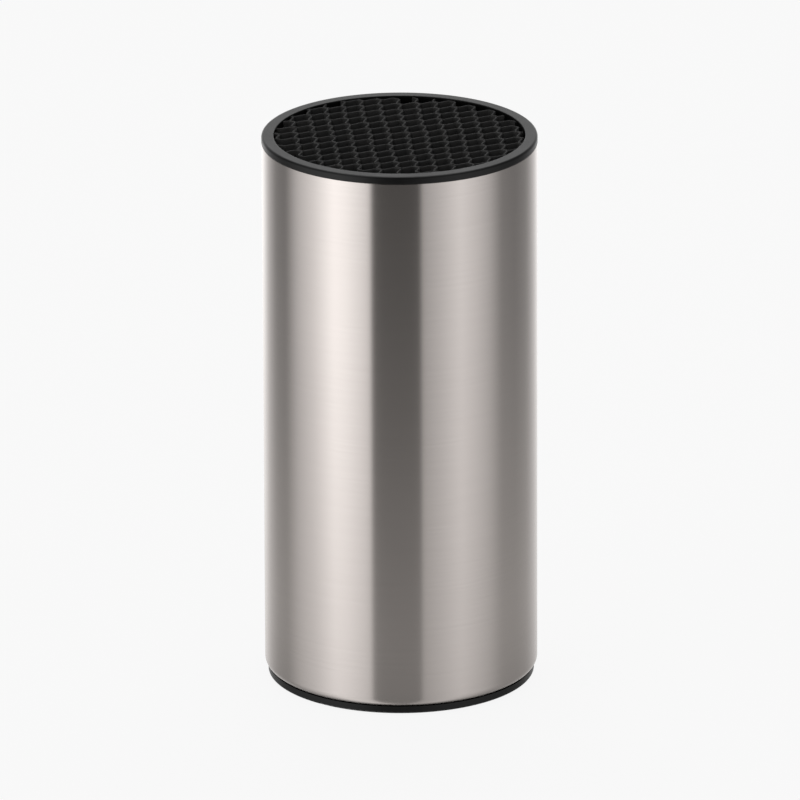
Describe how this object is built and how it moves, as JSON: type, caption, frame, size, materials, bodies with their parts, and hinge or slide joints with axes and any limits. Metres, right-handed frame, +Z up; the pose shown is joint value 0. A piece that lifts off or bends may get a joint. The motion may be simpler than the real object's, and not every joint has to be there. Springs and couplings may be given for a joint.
{
  "type": "knife block",
  "caption": "Round free-standing knife block: a brushed steel sleeve on a moulded base, with a lift-out insert of corrugated plastic strips that hold blades of any shape.",
  "frame": {"origin": "centre of the footprint, on the surface that the foot ring stands on", "axes": "+Z up along the sleeve's axis, +X along the corrugated strips, +Y across them"},
  "size_m": [0.1116, 0.1116, 0.23],
  "materials": {
    "brushed_steel": "satin, brushed round the sleeve",
    "black_plastic": "moulded, fine satin grain",
    "strip_plastic": "extruded, satin",
    "foot_rubber": "matt",
    "screw_steel": "zinc plated"
  },
  "bodies": {
    "housing": {"outer_sleeve": "brushed_steel", "base_cap": "black_plastic", "clamp_ring": "black_plastic", "foot_ring": "foot_rubber", "base_screws": "screw_steel"},
    "insert": {"top_collar": "black_plastic", "insert_liner": "black_plastic", "wave_strip_01": "strip_plastic", "wave_strip_02": "strip_plastic", "wave_strip_03": "strip_plastic", "wave_strip_04": "strip_plastic", "wave_strip_05": "strip_plastic", "wave_strip_06": "strip_plastic", "wave_strip_07": "strip_plastic", "wave_strip_08": "strip_plastic", "wave_strip_09": "strip_plastic", "wave_strip_10": "strip_plastic", "wave_strip_11": "strip_plastic", "wave_strip_12": "strip_plastic", "wave_strip_13": "strip_plastic", "wave_strip_14": "strip_plastic", "wave_strip_15": "strip_plastic", "wave_strip_16": "strip_plastic", "wave_strip_17": "strip_plastic", "wave_strip_18": "strip_plastic"}
  },
  "joints": [
    {"name": "insert_lift", "type": "slide", "parent": "housing", "child": "insert", "axis": [0, 0, 1], "range_m": [0, 0.24]}
  ]
}
